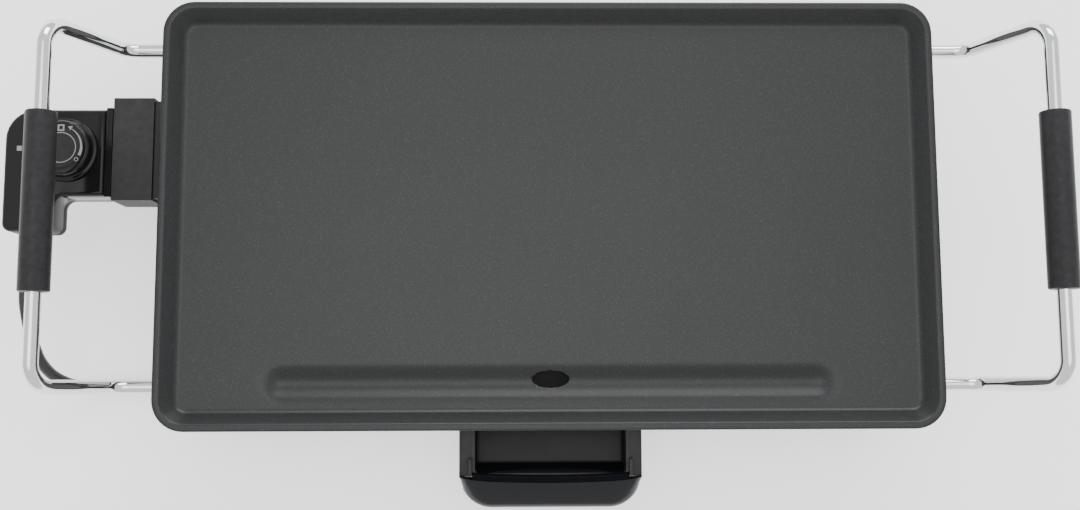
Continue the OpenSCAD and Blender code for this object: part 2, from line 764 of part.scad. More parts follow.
module plug_body() placed() color("#1a1a1a") translate([plug_x, plug_y, plug_z]) rotate([0, 90, 0]) {
    cylinder(r1 = 6, r2 = 12, h = 14);
    translate([0, 0, 14]) cylinder(r1 = 12, r2 = plug_r, h = 8);
    translate([0, 0, 22]) cylinder(r = plug_r, h = plug_l - 22);
}

module plug_pins() placed() color("silver") {
    for (s = [-1, 1])
        x_bar(plug_x + plug_l, plug_x + plug_l + plug_pin_l, plug_y + s * plug_pin_dy, plug_z, plug_pin_r);
}

griddle_plate();
heating_element();
terminal_pins();
element_clamps();
clamp_rivets();
socket_bracket();
bracket_screws();
socket_shroud();
shroud_collar();
shroud_screws();
left_handle_rod();
right_handle_rod();
left_grip();
right_grip();
leg(-1, -1);  // leg_front_left
leg(1, -1);  // leg_front_right
leg(-1, 1);  // leg_back_left
leg(1, 1);  // leg_back_right
foot(-1, -1);  // foot_front_left
foot(1, -1);  // foot_front_right
foot(-1, 1);  // foot_back_left
foot(1, 1);  // foot_back_right
leg_screws();
left_drawer_rail();
right_drawer_rail();
rail_screws();
drawer_tray();
drawer_handle();
control_base();
control_cover();
contact_block();
contact_clips();
probe();
thermostat_base();
switch_blades();
control_screws();
index_mark();
knob();
knob_shaft();
dial_plate();
cord_guard();
cord();
cord_coil();
cord_tie();
plug_body();
plug_pins();
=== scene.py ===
"""Looks for a table-top electric griddle, built around its CAD frame.

Pieces are drawn in millimetres about the middle of the plate, with z = 0 on the table,
and placed() moves each finished mesh into the shared frame, in metres.
"""

import json
import math

import bmesh
import bpy
from mathutils import Matrix, Vector


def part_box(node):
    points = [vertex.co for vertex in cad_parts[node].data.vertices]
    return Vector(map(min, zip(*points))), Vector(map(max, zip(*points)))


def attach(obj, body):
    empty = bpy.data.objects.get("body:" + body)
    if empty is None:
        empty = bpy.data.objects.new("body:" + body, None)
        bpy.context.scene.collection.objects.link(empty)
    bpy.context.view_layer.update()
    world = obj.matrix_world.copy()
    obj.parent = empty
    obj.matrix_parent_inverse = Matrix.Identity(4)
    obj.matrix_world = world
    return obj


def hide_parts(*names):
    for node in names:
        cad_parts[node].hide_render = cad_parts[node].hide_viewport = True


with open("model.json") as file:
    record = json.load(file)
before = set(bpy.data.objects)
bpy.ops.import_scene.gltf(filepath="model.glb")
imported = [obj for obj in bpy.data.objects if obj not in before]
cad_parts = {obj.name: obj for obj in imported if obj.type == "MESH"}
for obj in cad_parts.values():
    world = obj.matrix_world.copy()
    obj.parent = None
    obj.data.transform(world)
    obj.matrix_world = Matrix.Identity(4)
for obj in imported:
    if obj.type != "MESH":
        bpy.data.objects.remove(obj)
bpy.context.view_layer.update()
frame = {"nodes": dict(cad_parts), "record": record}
NODES = frame["nodes"]
SCENE = bpy.context.scene

# ---- sizes, in millimetres about the middle of the plate ----

PLATE_LOW, PLATE_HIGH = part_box("griddle_plate")
MIDDLE = (PLATE_LOW + PLATE_HIGH) / 2
PLACE = Matrix.Translation((MIDDLE.x, MIDDLE.y, 0)) @ Matrix.Scale(0.001, 4)

HALF_W = 235
HALF_D = 130
CORNER_R = 19
RIM_Z = 72
FLOOR_Z = 63
UNDER_Z = 59.5
SEAT_Z = 56

GUTTER_Y = -102
GUTTER_RUN = 161
GUTTER_HALF = 12.5
GUTTER_DEPTH = 3.5
DRAIN_Y = -100
DRAIN_W = 22
DRAIN_D = 10
SPOUT_WALL = 2
SPOUT_Z = 52.5

ROD_R = 4.3
ROD_Y = 103.7
ROD_Z = 55.2
ROD_END = 197
ROD_BEND = 14
KINK_X = 262
GRIP_X = 287.7
GRIP_Z = 116
GRIP_R = 8.74
GRIP_L = 102

LEG_X = 185
LEG_SEAT_Z = 41
RAIL_X = 64.25
RAIL_YS = (-117, -62)
BRACKET_X = -214
BRACKET_DY = 7

SOCKET_Y = 38
SOCKET_Z = 50
PIN_YS = (24, 52)
ELEMENT_R = 3.3
ELEMENT_Z = 56.2
ELEMENT_X = 160
ELEMENT_FRONT = -75.5
ELEMENT_BACK = 96
ELEMENT_BEND = 18
ELEMENT_END = -232

KNOB_X = -293
KNOB_Y = 39
KNOB_TOP = 74
HOUSING_Z0 = 34
PARTING_Z = 46
HOUSING_TOP = 64
# The housing is grained to the left of this, and polished to the right
TEXTURE_EDGE = -301
TEXTURE_FADE = 3
CONTROL_SCREWS = ((-309.5, 57.5), (-290, 17), (-321, 3))

DRAWER_HALF = 55.25
DRAWER_FRONT = -158
RUNNER_TOP = 50.5
RUNNER_T = 2.5
RUNNER_BACK = -58.3
RIB_X = 48.6
RIB_T = 2.2
RIB_L = 10.5
RIB_TOP = RUNNER_TOP + 2.8
TRAY_HALF = 45.75
TRAY_T = 1.8
TRAY_Z0 = 25.5
TRAY_BACK = -55.3
# The foot of the tray's front wall stands this far behind its upper edge
FRONT_LEAN = 4
LIP_TOP = 54
LIP_H = 24
LIP_D = 19.5
LIP_BOW = 2.2

CORD_D = 7
GUARD_AT = (-321, -10, 46)
COIL_AT = (-183, -35)
PLUG_AT = (-128, 4, 18.5)


# ---- camera ----

def add_camera():
    """The camera looks almost straight down, from a little left of the middle."""
    data = bpy.data.cameras.new("camera")
    data.sensor_width = 36
    data.lens = 38.84
    camera = bpy.data.objects.new("camera", data)
    camera.location = (-0.000545, -0.07986, 0.76394)
    camera.rotation_euler = (math.radians(6.39), math.radians(-0.932), math.radians(-0.223))
    SCENE.collection.objects.link(camera)
    SCENE.camera = camera


# ---- mesh tools ----

def placed(name, bm, body, material, stands_for=(), crease=35):
    """Turns a bmesh in plate millimetres into a finished piece that rides on a CAD body."""
    bmesh.ops.remove_doubles(bm, verts=bm.verts, dist=0.002)
    bmesh.ops.recalc_face_normals(bm, faces=bm.faces)
    bmesh.ops.transform(bm, matrix=PLACE, verts=bm.verts)
    return finished(name, bm, body, material, stands_for, crease)


def finished(name, bm, body, material, stands_for=(), crease=35):
    for face in bm.faces:
        face.smooth = True
    for edge in bm.edges:
        edge.smooth = len(edge.link_faces) == 2 and edge.calc_face_angle() < math.radians(crease)
    mesh = bpy.data.meshes.new(name)
    bm.to_mesh(mesh)
    bm.free()
    mesh.materials.append(material)
    piece = bpy.data.objects.new(name, mesh)
    SCENE.collection.objects.link(piece)
    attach(piece, body)
    if stands_for:
        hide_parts(*stands_for)
    return piece


def add_bevel(piece, width, segments=3, angle=35):
    bevel = piece.modifiers.new("soft edges", "BEVEL")
    bevel.width = width * 0.001
    bevel.segments = segments
    bevel.limit_method = "ANGLE"
    bevel.angle_limit = math.radians(angle)
    return piece


def softened(node, body, material, width, segments=3):
    """A copy of a CAD node with its edges rounded, which is shown in its place."""
    bm = bmesh.new()
    bm.from_mesh(NODES[node].data)
    bmesh.ops.remove_doubles(bm, verts=bm.verts, dist=1e-6)
    bmesh.ops.dissolve_limit(
        bm, angle_limit=math.radians(1), verts=bm.verts, edges=bm.edges)
    piece = finished(node + "_soft", bm, body, material, (node,), 50)
    return add_bevel(piece, width, segments)


def verts_of(geometry):
    return [item for item in geometry if isinstance(item, bmesh.types.BMVert)]


def edges_of(geometry):
    return [item for item in geometry if isinstance(item, bmesh.types.BMEdge)]


def pushed(bm, ring, step):
    """Extrudes a row of edges by one step, and gives the new row."""
    made = bmesh.ops.extrude_edge_only(bm, edges=ring)["geom"]
    moved = set(verts_of(made))
    bmesh.ops.translate(bm, verts=list(moved), vec=step)
    return [edge for edge in edges_of(made) if set(edge.verts) <= moved]


def turned(bm, ring, centre, axis, degrees, steps):
    """Spins a row of edges round an axis, and gives the new row."""
    around = set(vert for edge in ring for vert in edge.verts)
    made = bmesh.ops.spin(
        bm, geom=list(around) + ring, cent=centre, axis=axis,
        angle=math.radians(degrees), steps=steps)
    return edges_of(made["geom_last"])


def lathed(bm, section, centre, axis=(0, 0, 1), steps=64):
    """Spins a line of (distance, height) points once round an axis through centre."""
    centre = Vector(centre)
    turn = Vector((0, 0, 1)).rotation_difference(Vector(axis))
    verts = [bm.verts.new(centre + turn @ Vector((r, 0, h))) for r, h in section]
    edges = [bm.edges.new(pair) for pair in zip(verts, verts[1:])]
    bmesh.ops.spin(
        bm, geom=verts + edges, cent=centre, axis=axis, angle=2 * math.pi,
        steps=steps, use_merge=True)
    bmesh.ops.remove_doubles(bm, verts=bm.verts, dist=0.001)


def block(bm, low, high, round_edges=0.0, segments=2):
    """A box between two corners, with its edges rounded."""
    low, high = Vector(low), Vector(high)
    size = high - low
    made = bmesh.ops.create_cube(
        bm, size=1,
        matrix=Matrix.Translation((low + high) / 2) @ Matrix.Diagonal((*size, 1)))
    if round_edges:
        edges = {edge for vert in made["verts"] for edge in vert.link_edges}
        bmesh.ops.bevel(
            bm, geom=list(edges), offset=round_edges, segments=segments, profile=0.5,
            affect="EDGES", material=-1)


def cylinder(bm, centre, radius, height, axis=(0, 0, 1), sides=32):
    """A capped cylinder that starts at centre and runs along axis."""
    turn = Vector((0, 0, 1)).rotation_difference(Vector(axis)).to_matrix().to_4x4()
    lift = Matrix.Translation((0, 0, height / 2))
    bmesh.ops.create_cone(
        bm, cap_ends=True, segments=sides, radius1=radius, radius2=radius, depth=height,
        matrix=Matrix.Translation(centre) @ turn @ lift)


def oval_bar(length, width, at, z0, z1):
    """An upright bar with an oval outline, as a bmesh of its own."""
    bm = bmesh.new()
    bmesh.ops.create_cone(
        bm, cap_ends=True, segments=64, radius1=1, radius2=1, depth=1,
        matrix=Matrix.Translation((*at, (z0 + z1) / 2))
        @ Matrix.Diagonal((length / 2, width / 2, z1 - z0, 1)))
    return bm


def bent_bar(bm, path, radius, bend, sides=24, steps=10):
    """A round bar along a path, with a bend of one radius at each inner point."""
    points = [Vector(point) for point in path]
    way = (points[1] - points[0]).normalized()
    turn = Vector((0, 0, 1)).rotation_difference(way).to_matrix().to_4x4()
    made = bmesh.ops.create_circle(
        bm, cap_ends=True, segments=sides, radius=radius,
        matrix=Matrix.Translation(points[0]) @ turn)
    ring = list({edge for vert in made["verts"] for edge in vert.link_edges})
    here = points[0]
    for corner, after in zip(points[1:-1], points[2:]):
        onward = (after - corner).normalized()
        angle = way.angle(onward)
        reach = bend * math.tan(angle / 2)
        start = corner - way * reach
        ring = pushed(bm, ring, start - here)
        axis = way.cross(onward).normalized()
        centre = start + axis.cross(way) * bend
        ring = turned(bm, ring, centre, axis, math.degrees(angle), steps)
        here = corner + onward * reach
        way = onward
    ring = pushed(bm, ring, points[-1] - here)
    bmesh.ops.contextual_create(bm, geom=ring)


def traced(bm, start, moves):
    """Draws a closed outline from straight steps and arcs, and fills it with one face."""
    vert = bm.verts.new(start)
    first = vert
    for kind, value, degrees in moves:
        if kind == "line":
            made = bmesh.ops.extrude_vert_indiv(bm, verts=[vert])
            vert = made["verts"][0]
            bmesh.ops.translate(bm, verts=[vert], vec=(*value, 0))
        else:
            made = bmesh.ops.spin(
                bm, geom=[vert], cent=(*value, start[2]), axis=(0, 0, 1),
                angle=math.radians(degrees), steps=8)
            vert = verts_of(made["geom_last"])[0]
    bm.edges.new((vert, first))
    bmesh.ops.remove_doubles(bm, verts=bm.verts, dist=0.01)
    bmesh.ops.contextual_create(bm, geom=list(bm.edges))


def cut(piece, bm, operation="DIFFERENCE"):
    """Cuts a bmesh in plate millimetres out of a piece, or joins it on."""
    bmesh.ops.recalc_face_normals(bm, faces=bm.faces)
    bmesh.ops.transform(bm, matrix=PLACE, verts=bm.verts)
    mesh = bpy.data.meshes.new("cutter")
    bm.to_mesh(mesh)
    bm.free()
    cutter = bpy.data.objects.new("cutter", mesh)
    SCENE.collection.objects.link(cutter)
    boolean = piece.modifiers.new("cut", "BOOLEAN")
    boolean.operation = operation
    boolean.object = cutter
    boolean.solver = "EXACT"
    with bpy.context.temp_override(object=piece, active_object=piece):
        bpy.ops.object.modifier_apply(modifier=boolean.name)
    bpy.data.objects.remove(cutter)


# ---- shader groups ----

def new_group(name, inputs, outputs):
    group = bpy.data.node_groups.new(name, "ShaderNodeTree")
    for label, kind in inputs:
        group.interface.new_socket(label, in_out="INPUT", socket_type=kind)
    for label, kind in outputs:
        group.interface.new_socket(label, in_out="OUTPUT", socket_type=kind)
    return group, group.nodes.new("NodeGroupInput"), group.nodes.new("NodeGroupOutput")


def grain_group():
    """Fine moulded or cast texture: a soft mask of uneven colour, and a height."""
    group, given, out = new_group(
        "grain",
        [("Fine Scale", "NodeSocketFloat"), ("Broad Scale", "NodeSocketFloat")],
        [("Mask", "NodeSocketFloat"), ("Height", "NodeSocketFloat")])
    make, link = group.nodes.new, group.links.new
    place = make("ShaderNodeTexCoord")
    fine = make("ShaderNodeTexNoise")
    fine.inputs["Detail"].default_value = 4
    fine.inputs["Roughness"].default_value = 0.6
    broad = make("ShaderNodeTexNoise")
    broad.inputs["Detail"].default_value = 3
    mix = make("ShaderNodeMath")
    mix.operation = "MULTIPLY_ADD"
    mix.inputs[1].default_value = 0.5
    half = make("ShaderNodeMath")
    half.operation = "MULTIPLY"
    half.inputs[1].default_value = 0.5
    link(place.outputs["Object"], fine.inputs["Vector"])
    link(place.outputs["Object"], broad.inputs["Vector"])
    link(given.outputs["Fine Scale"], fine.inputs["Scale"])
    link(given.outputs["Broad Scale"], broad.inputs["Scale"])
    link(broad.outputs["Fac"], half.inputs[0])
    link(fine.outputs["Fac"], mix.inputs[0])
    link(half.outputs["Value"], mix.inputs[2])
    link(mix.outputs["Value"], out.inputs["Mask"])
    link(fine.outputs["Fac"], out.inputs["Height"])
    return group


def flecks_group():
    """Small bright specks scattered in a coating, each of its own strength."""
    group, given, out = new_group(
        "flecks",
        [("Scale", "NodeSocketFloat"), ("Size", "NodeSocketFloat")],
        [("Mask", "NodeSocketFloat")])
    make, link = group.nodes.new, group.links.new
    place = make("ShaderNodeTexCoord")
    cells = make("ShaderNodeTexVoronoi")
    inside = make("ShaderNodeMath")
    inside.operation = "LESS_THAN"
    split = make("ShaderNodeSeparateColor")
    pick = make("ShaderNodeMath")
    pick.operation = "POWER"
    pick.inputs[1].default_value = 3
    show = make("ShaderNodeMath")
    show.operation = "MULTIPLY"
    link(place.outputs["Object"], cells.inputs["Vector"])
    link(given.outputs["Scale"], cells.inputs["Scale"])
    link(cells.outputs["Distance"], inside.inputs[0])
    link(given.outputs["Size"], inside.inputs[1])
    link(cells.outputs["Color"], split.inputs["Color"])
    link(split.outputs["Red"], pick.inputs[0])
    link(pick.outputs["Value"], show.inputs[0])
    link(inside.outputs["Value"], show.inputs[1])
    link(show.outputs["Value"], out.inputs["Mask"])
    return group


def wear_group():
    """Edges that are rubbed a little lighter, broken up by noise."""
    group, given, out = new_group(
        "edge_wear", [("Scale", "NodeSocketFloat")], [("Mask", "NodeSocketFloat")])
    make, link = group.nodes.new, group.links.new
    shape = make("ShaderNodeNewGeometry")
    place = make("ShaderNodeTexCoord")
    edge = make("ShaderNodeMapRange")
    edge.inputs["From Min"].default_value = 0.51
    edge.inputs["From Max"].default_value = 0.60
    noise = make("ShaderNodeTexNoise")
    both = make("ShaderNodeMath")
    both.operation = "MULTIPLY"
    link(shape.outputs["Pointiness"], edge.inputs["Value"])
    link(place.outputs["Object"], noise.inputs["Vector"])
    link(given.outputs["Scale"], noise.inputs["Scale"])
    link(edge.outputs["Result"], both.inputs[0])
    link(noise.outputs["Fac"], both.inputs[1])
    link(both.outputs["Value"], out.inputs["Mask"])
    return group


def brushed_group():
    """Fine lines drawn along one direction of the metal or the mould."""
    group, given, out = new_group(
        "brushed", [("Stretch", "NodeSocketVector")],
        [("Mask", "NodeSocketFloat"), ("Height", "NodeSocketFloat")])
    make, link = group.nodes.new, group.links.new
    place = make("ShaderNodeTexCoord")
    stretch = make("ShaderNodeVectorMath")
    stretch.operation = "MULTIPLY"
    lines = make("ShaderNodeTexNoise")
    lines.inputs["Scale"].default_value = 1
    lines.inputs["Detail"].default_value = 3
    link(place.outputs["Object"], stretch.inputs[0])
    link(given.outputs["Stretch"], stretch.inputs[1])
    link(stretch.outputs["Vector"], lines.inputs["Vector"])
    link(lines.outputs["Fac"], out.inputs["Mask"])
    link(lines.outputs["Fac"], out.inputs["Height"])
    return group


GRAIN = grain_group()
FLECKS = flecks_group()
WEAR = wear_group()
BRUSHED = brushed_group()


# ---- material tools ----

class Finish:
    """A material with one Principled shader, and short ways to feed it."""

    def __init__(self, name, **constants):
        self.material = bpy.data.materials.new(name)
        self.material.use_nodes = True
        self.make = self.material.node_tree.nodes.new
        self.link = self.material.node_tree.links.new
        self.shader = self.material.node_tree.nodes["Principled BSDF"]
        for label, value in constants.items():
            self.shader.inputs[label.replace("_", " ")].default_value = value

    def effect(self, group, **values):
        node = self.make("ShaderNodeGroup")
        node.node_tree = group
        for label, value in values.items():
            node.inputs[label.replace("_", " ")].default_value = value
        return node

    def colour(self, mask, dark, light):
        """Mixes two colours by a mask, and gives the result's socket."""
        mix = self.make("ShaderNodeMix")
        mix.data_type = "RGBA"
        mix.inputs[6].default_value = (*dark, 1)
        mix.inputs[7].default_value = (*light, 1)
        self.link(mask, mix.inputs[0])
        self.link(mix.outputs[2], self.shader.inputs["Base Color"])
        return mix.outputs[2]

    def over(self, below, mask, light):
        """Lays one colour over another where the mask is high."""
        mix = self.make("ShaderNodeMix")
        mix.data_type = "RGBA"
        mix.inputs[7].default_value = (*light, 1)
        self.link(mask, mix.inputs[0])
        self.link(below, mix.inputs[6])
        self.link(mix.outputs[2], self.shader.inputs["Base Color"])
        return mix.outputs[2]

    def spread(self, mask, socket, low, high):
        """Turns a mask into a range of values on one of the shader's sockets."""
        spread = self.make("ShaderNodeMapRange")
        spread.inputs["From Min"].default_value = 0.3
        spread.inputs["From Max"].default_value = 0.7
        spread.inputs["To Min"].default_value = low
        spread.inputs["To Max"].default_value = high
        self.link(mask, spread.inputs["Value"])
        self.link(spread.outputs["Result"], self.shader.inputs[socket])

    def bump(self, height, strength, distance):
        bump = self.make("ShaderNodeBump")
        bump.inputs["Strength"].default_value = strength
        bump.inputs["Distance"].default_value = distance
        self.link(height, bump.inputs["Height"])
        self.link(bump.outputs["Normal"], self.shader.inputs["Normal"])


WHITE = (1, 1, 1, 1)


def grey(value, warmth=0.0):
    return (value * (1 + warmth), value, value * (1 - warmth))


# ---- one material for each finish ----

def nonstick_coating():
    """Dark non-stick coating with fine light flecks."""
    finish = Finish("nonstick_coating", IOR=1.5, Specular_IOR_Level=0.46)
    grain = finish.effect(GRAIN, Fine_Scale=1100, Broad_Scale=9)
    flecks = finish.effect(FLECKS, Scale=1500, Size=0.30)
    base = finish.colour(grain.outputs["Mask"], (0.004, 0.0045, 0.005), (0.009, 0.010, 0.011))
    finish.over(base, flecks.outputs["Mask"], (0.06, 0.063, 0.066))
    finish.spread(grain.outputs["Mask"], "Roughness", 0.34, 0.44)
    finish.bump(grain.outputs["Height"], 0.2, 0.0001)
    return finish.material


def element_steel():
    """Sheath of the heating element: matt steel with heat tint."""
    finish = Finish("element_steel", Metallic=0.9)
    grain = finish.effect(GRAIN, Fine_Scale=600, Broad_Scale=30)
    finish.colour(grain.outputs["Mask"], (0.16, 0.13, 0.10), (0.30, 0.28, 0.27))
    finish.spread(grain.outputs["Mask"], "Roughness", 0.38, 0.55)
    finish.bump(grain.outputs["Height"], 0.15, 0.0001)
    return finish.material


def plated_steel():
    """Zinc-plated steel of screws, brackets and clamps."""
    finish = Finish("plated_steel", Metallic=1.0)
    grain = finish.effect(GRAIN, Fine_Scale=700, Broad_Scale=60)
    finish.colour(grain.outputs["Mask"], (0.46, 0.45, 0.42), (0.62, 0.61, 0.58))
    finish.spread(grain.outputs["Mask"], "Roughness", 0.24, 0.40)
    finish.bump(grain.outputs["Height"], 0.1, 0.00008)
    return finish.material


def chrome_rod():
    """Bright chrome plating with faint handling marks."""
    finish = Finish("chrome_rod", Metallic=1.0)
    lines = finish.effect(BRUSHED, Stretch=(220, 220, 220))
    finish.colour(lines.outputs["Mask"], (0.70, 0.71, 0.73), (0.82, 0.83, 0.85))
    finish.spread(lines.outputs["Mask"], "Roughness", 0.05, 0.10)
    return finish.material


def grip_plastic():
    """Satin phenolic plastic with fine lines along its length."""
    finish = Finish("grip_plastic", IOR=1.5, Specular_IOR_Level=0.15)
    lines = finish.effect(BRUSHED, Stretch=(2600, 40, 2600))
    wear = finish.effect(WEAR, Scale=300)
    base = finish.colour(lines.outputs["Mask"], (0.011, 0.0105, 0.012), (0.018, 0.0175, 0.0195))
    finish.over(base, wear.outputs["Mask"], (0.07, 0.07, 0.073))
    finish.spread(lines.outputs["Mask"], "Roughness", 0.36, 0.46)
    finish.bump(lines.outputs["Height"], 0.12, 0.00008)
    return finish.material


def matte_plastic(name, dark, light, rough):
    """Moulded plastic with spark-eroded grain."""
    finish = Finish(name, IOR=1.47, Specular_IOR_Level=0.25)
    grain = finish.effect(GRAIN, Fine_Scale=1500, Broad_Scale=40)
    wear = finish.effect(WEAR, Scale=200)
    base = finish.colour(grain.outputs["Mask"], dark, light)
    finish.over(base, wear.outputs["Mask"], tuple(2.2 * part for part in light))
    finish.spread(grain.outputs["Mask"], "Roughness", rough - 0.06, rough + 0.06)
    finish.bump(grain.outputs["Height"], 0.3, 0.00012)
    return finish.material


def gloss_plastic(name, dark, light):
    """Polished moulding with faint fine scratches and an uneven surface."""
    finish = Finish(name, IOR=1.48, Specular_IOR_Level=0.3)
    grain = finish.effect(GRAIN, Fine_Scale=60, Broad_Scale=9)
    lines = finish.effect(BRUSHED, Stretch=(160, 1900, 500))
    finish.colour(grain.outputs["Mask"], dark, light)
    finish.spread(lines.outputs["Mask"], "Roughness", 0.10, 0.20)
    finish.bump(grain.outputs["Height"], 0.05, 0.0003)
    return finish.material


def housing_plastic():
    """The control's housing: polished round the knob, finely grained on its tail."""
    polished, grained = 0.12, 0.48
    finish = Finish("housing_plastic", IOR=1.48, Specular_IOR_Level=0.25)
    grain = finish.effect(GRAIN, Fine_Scale=1500, Broad_Scale=30)
    place = finish.make("ShaderNodeTexCoord")
    split = finish.make("ShaderNodeSeparateXYZ")
    tail = finish.make("ShaderNodeMapRange")
    fade_start = PLACE @ Vector((TEXTURE_EDGE + TEXTURE_FADE, 0, 0))
    fade_end = PLACE @ Vector((TEXTURE_EDGE, 0, 0))
    tail.inputs["From Min"].default_value = fade_start.x
    tail.inputs["From Max"].default_value = fade_end.x
    rough = finish.make("ShaderNodeMath")
    rough.operation = "MULTIPLY_ADD"
    rough.inputs[1].default_value = grained - polished
    rough.inputs[2].default_value = polished
    finish.link(place.outputs["Object"], split.inputs["Vector"])
    finish.link(split.outputs["X"], tail.inputs["Value"])
    finish.link(tail.outputs["Result"], rough.inputs[0])
    finish.link(rough.outputs["Value"], finish.shader.inputs["Roughness"])
    base = finish.colour(
        grain.outputs["Mask"], (0.005, 0.005, 0.0055), (0.009, 0.009, 0.010))
    finish.over(base, tail.outputs["Result"], (0.008, 0.008, 0.0085))
    height = finish.make("ShaderNodeMath")
    height.operation = "MULTIPLY"
    finish.link(grain.outputs["Height"], height.inputs[0])
    finish.link(tail.outputs["Result"], height.inputs[1])
    finish.bump(height.outputs["Value"], 0.3, 0.0001)
    return finish.material


def contact_brass():
    """Spring brass of the contacts."""
    finish = Finish("contact_brass", Metallic=1.0)
    grain = finish.effect(GRAIN, Fine_Scale=500, Broad_Scale=80)
    finish.colour(grain.outputs["Mask"], (0.62, 0.42, 0.16), (0.78, 0.57, 0.26))
    finish.spread(grain.outputs["Mask"], "Roughness", 0.22, 0.36)
    return finish.material


def ceramic():
    """Steatite of the thermostat's base."""
    finish = Finish("ceramic", IOR=1.55)
    grain = finish.effect(GRAIN, Fine_Scale=900, Broad_Scale=70)
    finish.colour(grain.outputs["Mask"], (0.62, 0.58, 0.50), (0.78, 0.75, 0.68))
    finish.spread(grain.outputs["Mask"], "Roughness", 0.5, 0.65)
    return finish.material


def white_print():
    """White ink, a little uneven over the plastic."""
    finish = Finish("white_print", Specular_IOR_Level=0.3)
    grain = finish.effect(GRAIN, Fine_Scale=2500, Broad_Scale=200)
    finish.colour(grain.outputs["Mask"], (0.24, 0.24, 0.24), (0.34, 0.34, 0.34))
    finish.spread(grain.outputs["Mask"], "Roughness", 0.45, 0.6)
    return finish.material


def foot_rubber():
    """Black rubber with a dusty bloom."""
    finish = Finish("foot_rubber", IOR=1.5)
    grain = finish.effect(GRAIN, Fine_Scale=1200, Broad_Scale=90)
    finish.colour(grain.outputs["Mask"], (0.014, 0.014, 0.014), (0.034, 0.033, 0.032))
    finish.spread(grain.outputs["Mask"], "Roughness", 0.7, 0.85)
    finish.bump(grain.outputs["Height"], 0.4, 0.00015)
    return finish.material


def cord_pvc():
    """Soft satin jacket of the mains lead."""
    finish = Finish("cord_pvc", IOR=1.5)
    grain = finish.effect(GRAIN, Fine_Scale=800, Broad_Scale=50)
    finish.colour(grain.outputs["Mask"], (0.010, 0.010, 0.011), (0.022, 0.022, 0.024))
    finish.spread(grain.outputs["Mask"], "Roughness", 0.36, 0.48)
    finish.bump(grain.outputs["Height"], 0.12, 0.0001)
    return finish.material


FINISHES = {
    "nonstick_coating": nonstick_coating(),
    "element_steel": element_steel(),
    "plated_steel": plated_steel(),
    "chrome_rod": chrome_rod(),
    "grip_plastic": grip_plastic(),
    "matte_black_plastic": matte_plastic("matte_black_plastic", grey(0.010), grey(0.017), 0.5),
    "leg_plastic": matte_plastic("leg_plastic", grey(0.009), grey(0.015), 0.5),
    "drawer_plastic": matte_plastic("drawer_plastic", grey(0.012), grey(0.020), 0.42),
    "lip_plastic": gloss_plastic("lip_plastic", (0.005, 0.0055, 0.007), (0.009, 0.0095, 0.012)),
    "gloss_black_plastic": gloss_plastic(
        "gloss_black_plastic", (0.005, 0.005, 0.0055), (0.009, 0.009, 0.010)),
    "dial_plastic": matte_plastic("dial_plastic", grey(0.010), grey(0.016), 0.4),
    "contact_brass": contact_brass(),
    "ceramic": ceramic(),
    "white_print": white_print(),
    "foot_rubber": foot_rubber(),
    "cord_pvc": cord_pvc(),
}


HOUSING_PLASTIC = housing_plastic()


def paint_frame():
    """Every CAD node takes the finish of its slot in the record."""
    for part in frame["record"]["subparts"]:
        mesh = NODES[part["node"]].data
        mesh.materials.clear()
        mesh.materials.append(FINISHES[part["material_slot"]])


# ---- mains cord ----

LEAD_ROUTE = [
    (-321, -32, 46), (-322, -48, 46), (-320, -63, 45), (-317, -78, 41), (-314, -90, 33),
    (-307, -99, 22), (-296, -103, 11), (-282, -103, 5), (-266, -103, 4), (-252, -103, 4),
    (-239, -100, 4), (-229, -92, 4), (-223, -80, 4), (-221, -65, 4), (-220, -50, 4),
    (-220, -35, 4),
]
TAIL_ROUTE = [(-183, 2, 17), (-168, 3, 18), (-152, 4, 18), (-140, 4, 18), (-128, 4, 18)]
# Each whole turn of the coil: its radius and the height of the cord's middle
COIL_TURNS = [(39.4, 3.8), (32.6, 3.8), (32.6, 10.6), (39.4, 10.6), (39.4, 17.4), (37.0, 17.2)]
COIL_STEPS = 16
COIL_COUNT = 5.25
# Share of the way to the next turn's radius and height that each step covers
COIL_EASE = 0.35


def coil_route():
    """Five and a quarter turns, clockwise from above, from the left side to the back."""
    points = []
    steps = int(COIL_COUNT * COIL_STEPS)
    radius, height = 37.0, 4.0
    for step in range(1, steps):
        aim_radius, aim_height = COIL_TURNS[step // COIL_STEPS]
        radius += (aim_radius - radius) * COIL_EASE
        height += (aim_height - height) * COIL_EASE
        angle = math.pi - 2 * math.pi * step / COIL_STEPS
        points.append((
            COIL_AT[0] + radius * math.cos(angle),
            COIL_AT[1] + radius * math.sin(angle), height))
    return points


def add_cord():
    route = LEAD_ROUTE + coil_route() + TAIL_ROUTE
    curve = bpy.data.curves.new("mains_cord", "CURVE")
    curve.dimensions = "3D"
    curve.bevel_depth = CORD_D / 2 * 0.001
    curve.bevel_resolution = 4
    curve.resolution_u = 4
    curve.use_fill_caps = True
    spline = curve.splines.new("BEZIER")
    spline.bezier_points.add(len(route) - 1)
    for knot, point in zip(spline.bezier_points, route):
        knot.co = PLACE @ Vector(point)
        knot.handle_left_type = "AUTO"
        knot.handle_right_type = "AUTO"
    curve.materials.append(FINISHES["cord_pvc"])
    cord = bpy.data.objects.new("mains_cord", curve)
    SCENE.collection.objects.link(cord)
    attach(cord, "control")
    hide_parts("cord", "cord_coil")
    guard = add_cord_guard()
    tie = softened("cord_tie", "control", FINISHES["cord_pvc"], 0.4)
    plug = add_plug()


